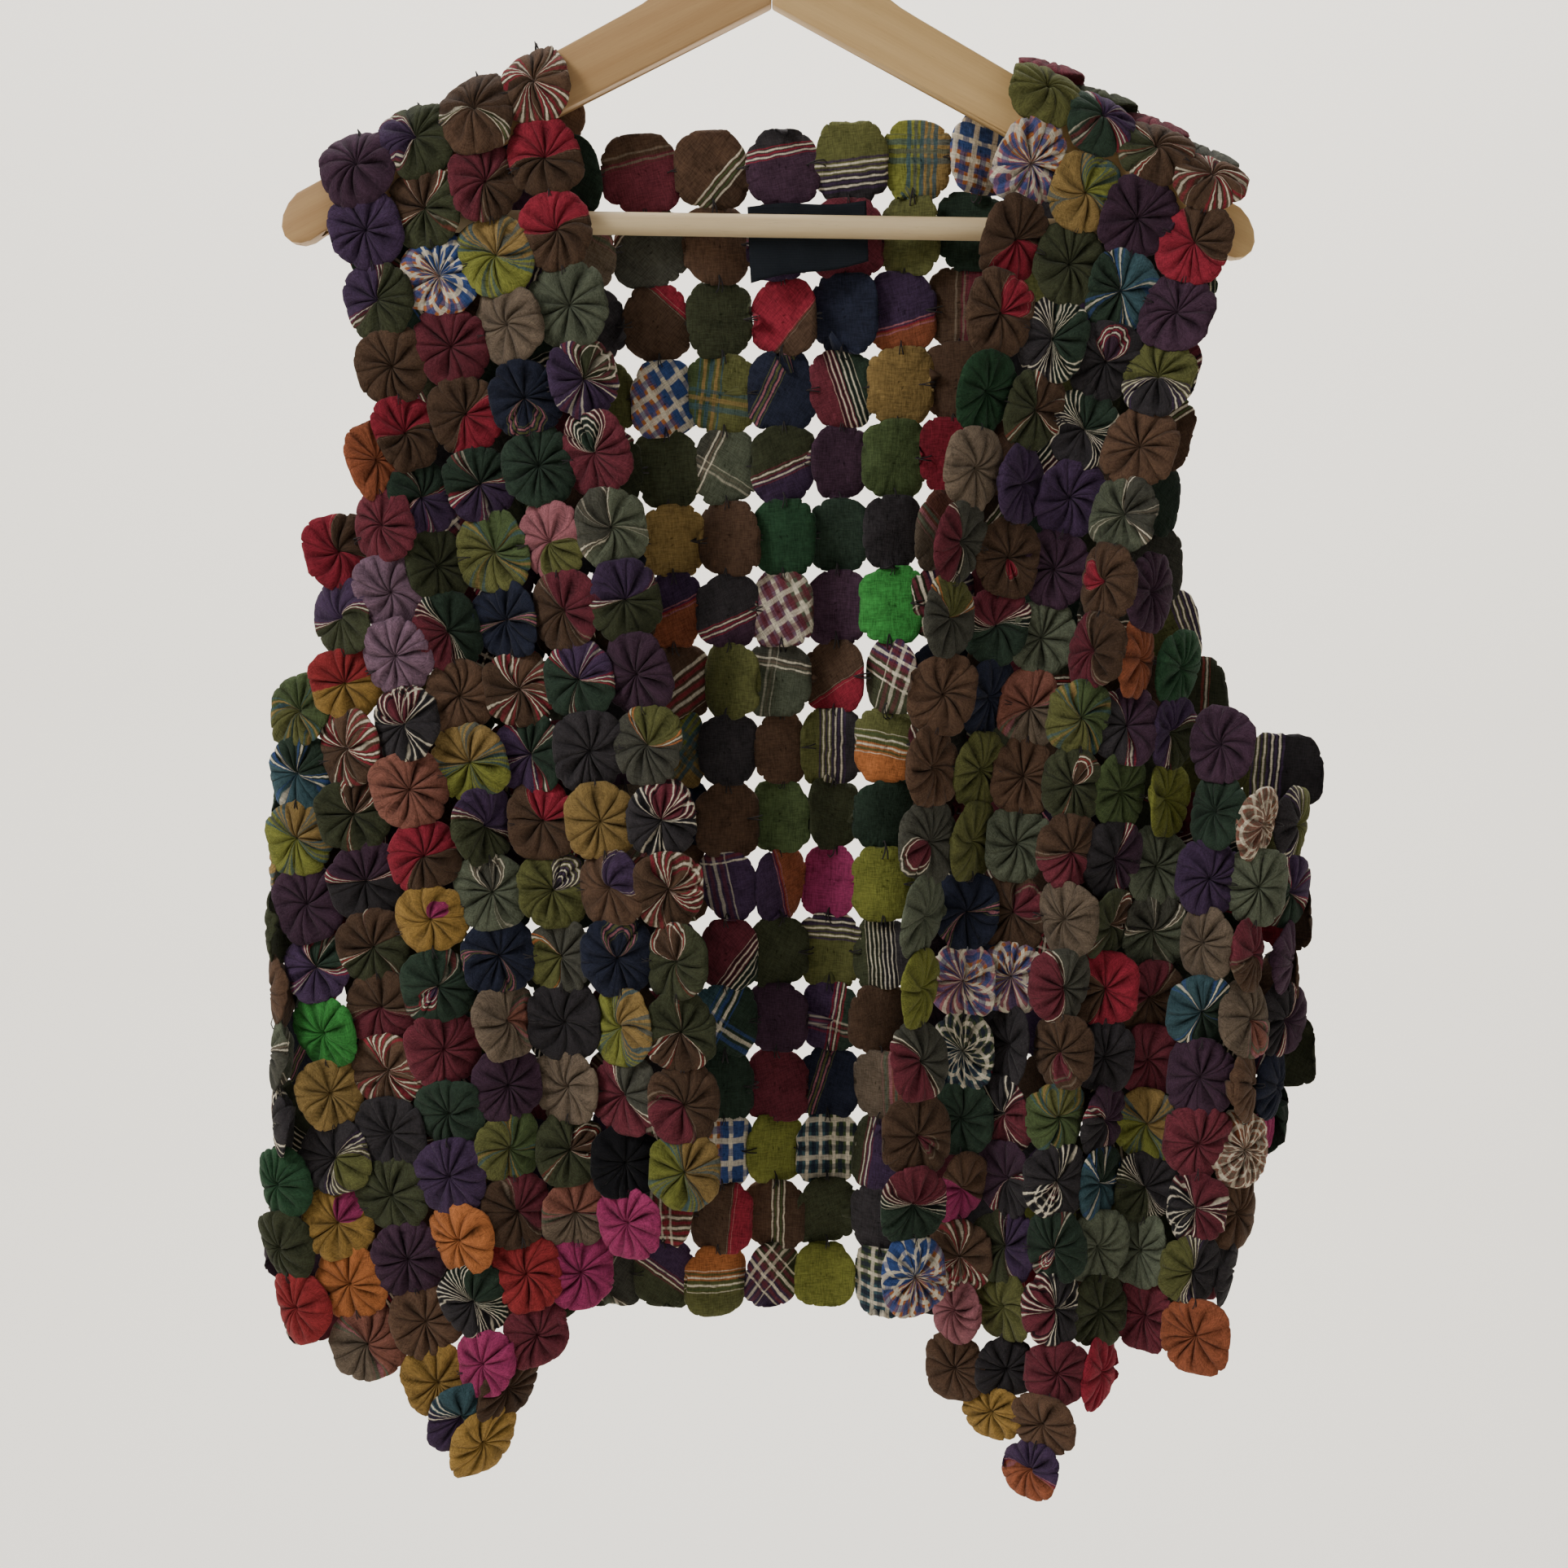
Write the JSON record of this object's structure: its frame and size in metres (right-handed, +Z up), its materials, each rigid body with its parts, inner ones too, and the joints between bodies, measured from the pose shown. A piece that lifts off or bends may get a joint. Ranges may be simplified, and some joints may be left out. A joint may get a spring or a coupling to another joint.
{
  "type": "rosette patchwork vest on a wooden hanger",
  "caption": "Open sleeveless vest of gathered cotton rosettes joined edge to edge, hanging on a flat wooden hanger with a trouser bar and a wire hook.",
  "frame": {"origin": "inner top of the hook, where a rail holds the hanger", "axes": "+Z up, -Y the open front of the vest, +X the wearer's left"},
  "size_m": [0.4881, 0.0767, 0.7842],
  "materials": {
    "cotton_moss": "gathered cotton, matte",
    "cotton_plum": "gathered cotton, matte",
    "cotton_brown": "gathered cotton, matte",
    "beech_dark": "satin varnish",
    "beech_pale": "satin varnish",
    "zinc_steel": "bright zinc",
    "label_black": "woven damask, blank"
  },
  "bodies": {
    "root": {"back_strip_01": "cotton_moss", "back_strip_02": "cotton_plum", "back_strip_03": "cotton_brown", "back_strip_04": "cotton_moss", "back_strip_05": "cotton_plum", "back_strip_06": "cotton_brown", "back_strip_07": "cotton_moss", "back_strip_08": "cotton_plum", "back_strip_09": "cotton_brown", "back_strip_10": "cotton_moss", "back_strip_11": "cotton_plum", "back_strip_12": "cotton_brown", "back_strip_13": "cotton_moss", "back_strip_14": "cotton_plum", "back_strip_15": "cotton_brown", "back_strip_16": "cotton_moss", "back_strip_17": "cotton_plum", "left_front_strip_01": "cotton_moss", "left_front_strip_02": "cotton_plum", "left_front_strip_03": "cotton_brown", "left_front_strip_04": "cotton_moss", "left_front_strip_05": "cotton_plum", "left_front_strip_06": "cotton_brown", "left_front_strip_07": "cotton_moss", "left_front_strip_08": "cotton_plum", "left_front_strip_09": "cotton_brown", "right_front_strip_01": "cotton_moss", "right_front_strip_02": "cotton_plum", "right_front_strip_03": "cotton_brown", "right_front_strip_04": "cotton_moss", "right_front_strip_05": "cotton_plum", "right_front_strip_06": "cotton_brown", "right_front_strip_07": "cotton_moss", "right_front_strip_08": "cotton_plum", "hanger_arm_left": "beech_pale", "hanger_arm_right": "beech_dark", "trouser_bar": "beech_pale", "wire_hook": "zinc_steel", "neck_label": "label_black"}
  },
  "joints": []
}
